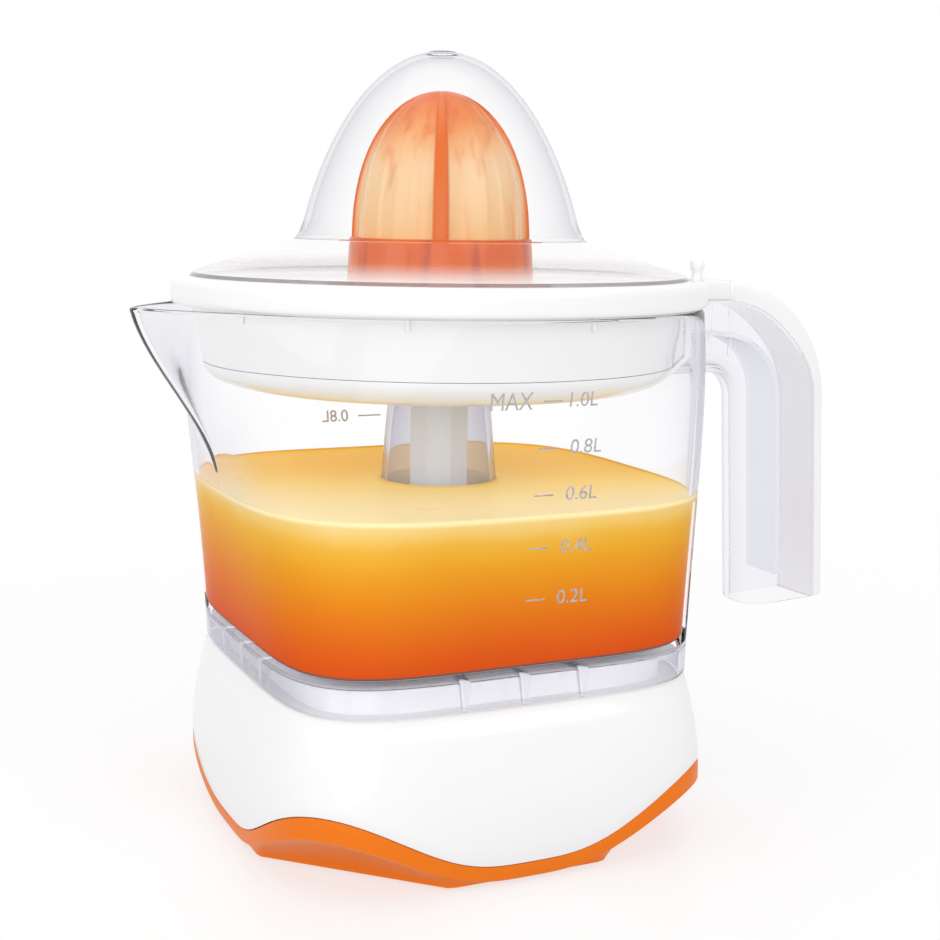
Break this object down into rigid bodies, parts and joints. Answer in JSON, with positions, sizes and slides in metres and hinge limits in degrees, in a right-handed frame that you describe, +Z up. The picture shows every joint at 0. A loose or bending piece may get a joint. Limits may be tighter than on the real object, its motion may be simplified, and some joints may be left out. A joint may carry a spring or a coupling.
{
  "type": "citrus press juicer",
  "caption": "Electric citrus press: motor base with a geared drive, clear jug with spout and handle, sieve bowl with pulp regulator, ribbed reamers and a domed lid.",
  "frame": {"origin": "on the drive axis, at the level of the table the feet stand on; the flat underside of the tray is 1 mm above it", "axes": "+Z up along the drive axis, +X towards the handle, -X towards the pouring lip, -Y the face with the volume scale"},
  "size_m": [0.2302, 0.1582, 0.2279],
  "materials": {
    "white_plastic": "gloss",
    "orange_plastic": "gloss",
    "rubber": "matte",
    "white_rubber": "satin",
    "steel": "satin",
    "zinc_steel": "satin",
    "dark_steel": "satin",
    "spring_steel": "satin",
    "natural_nylon": "satin",
    "copper_wire": "enamelled",
    "bronze": "satin",
    "ferrite": "matte",
    "grey_plastic": "satin",
    "black_plastic": "satin",
    "red_plastic": "gloss",
    "clear_plastic": "clear gloss",
    "frosted_plastic": "gloss",
    "pale_grey_plastic": "gloss",
    "orange_clear_plastic": "clear gloss",
    "lid_plastic": "clear gloss"
  },
  "bodies": {
    "base": {"base_housing": "white_plastic", "bottom_tray": "orange_plastic", "rubber_feet": "rubber", "tray_screws": "steel", "cord_grommet": "white_rubber", "motor_can": "zinc_steel", "motor_cover": "zinc_steel", "motor_screws": "steel", "stator_bobbin": "natural_nylon", "stator_coil": "copper_wire", "pole_ring": "dark_steel", "rotor_bushes": "bronze", "gear_plate": "grey_plastic", "gearbox_cover": "grey_plastic", "gearbox_screws": "steel", "thrust_washer": "steel", "output_bush": "bronze", "idler_axle": "steel", "turret_seal": "rubber", "micro_switch": "black_plastic", "switch_screws": "steel", "lever_pin": "steel"},
    "rotor": {"rotor_magnet": "ferrite", "rotor_shaft": "steel", "rotor_pinion": "natural_nylon"},
    "idler": {"idler_gear": "natural_nylon"},
    "output": {"output_gear": "natural_nylon", "return_spring": "spring_steel"},
    "coupling": {"drive_coupling": "grey_plastic"},
    "switch_lever": {"switch_lever": "spring_steel"},
    "switch_plunger": {"switch_plunger": "red_plastic"},
    "jug": {"jug": "clear_plastic", "handle_cover": "white_plastic"},
    "sieve": {"sieve_bowl": "white_plastic"},
    "regulator": {"pulp_regulator": "frosted_plastic"},
    "bush": {"guide_bush": "white_plastic"},
    "shaft": {"drive_shaft": "pale_grey_plastic", "shaft_clip": "spring_steel"},
    "small_reamer": {"small_reamer": "orange_clear_plastic"},
    "large_reamer": {"large_reamer": "orange_clear_plastic"},
    "lid": {"lid": "lid_plastic"}
  },
  "joints": [
    {"name": "reamer_press", "type": "slide", "parent": "sieve", "child": "bush", "axis": [0, 0, 1], "range_m": [-0.0025, 0], "stiffness_N_per_m": 700, "springref_m": 0.006},
    {"name": "reamer_spin", "type": "hinge", "parent": "bush", "child": "shaft", "pos_m": [0, 0, 0.1], "axis": [0, 0, 1], "continuous": true},
    {"name": "output_spin", "type": "hinge", "parent": "base", "child": "output", "pos_m": [0, 0, 0.037], "axis": [0, 0, 1], "continuous": true},
    {"name": "idler_spin", "type": "hinge", "parent": "base", "child": "idler", "pos_m": [-0.01945, 0.02124, 0.033], "axis": [0, 0, 1], "continuous": true},
    {"name": "rotor_spin", "type": "hinge", "parent": "base", "child": "rotor", "pos_m": [-0.033, 0, 0.02], "axis": [0, 0, 1], "continuous": true},
    {"name": "coupling_press", "type": "slide", "parent": "output", "child": "coupling", "axis": [0, 0, 1], "range_m": [-0.0025, 0], "deforming": ["return_spring"]},
    {"name": "lever_swing", "type": "hinge", "parent": "base", "child": "switch_lever", "pos_m": [0.012, 0, 0.0147], "axis": [0, 1, 0], "range_deg": [-12.5, 0]},
    {"name": "plunger_press", "type": "slide", "parent": "base", "child": "switch_plunger", "axis": [0, 0, 1], "range_m": [-0.0013, 0]},
    {"name": "jug_lift", "type": "slide", "parent": "base", "child": "jug", "axis": [0, 0, 1], "range_m": [0, 0.12]},
    {"name": "sieve_lift", "type": "slide", "parent": "jug", "child": "sieve", "axis": [0, 0, 1], "range_m": [0, 0.12]},
    {"name": "regulator_turn", "type": "hinge", "parent": "sieve", "child": "regulator", "pos_m": [0, 0, 0.131], "axis": [0, 0, 1], "range_deg": [0, 7.5]},
    {"name": "lid_lift", "type": "slide", "parent": "sieve", "child": "lid", "axis": [0, 0, 1], "range_m": [0, 0.1]},
    {"name": "large_reamer_lift", "type": "slide", "parent": "small_reamer", "child": "large_reamer", "axis": [0, 0, 1], "range_m": [0, 0.045]},
    {"name": "small_reamer_lift", "type": "slide", "parent": "shaft", "child": "small_reamer", "axis": [0, 0, 1], "range_m": [0, 0.03]}
  ],
  "couplings": [
    {"joint": "output_spin", "follows": "reamer_spin", "ratio": 1},
    {"joint": "idler_spin", "follows": "reamer_spin", "ratio": -3},
    {"joint": "rotor_spin", "follows": "reamer_spin", "ratio": 9},
    {"joint": "coupling_press", "follows": "reamer_press", "ratio": 1},
    {"joint": "lever_swing", "follows": "reamer_press", "rad_per_m": 83.333},
    {"joint": "plunger_press", "follows": "reamer_press", "ratio": 0.5},
    {"joint": "large_reamer_lift", "follows": "lid_lift", "ratio": 0.4},
    {"joint": "small_reamer_lift", "follows": "lid_lift", "ratio": 0.28}
  ]
}
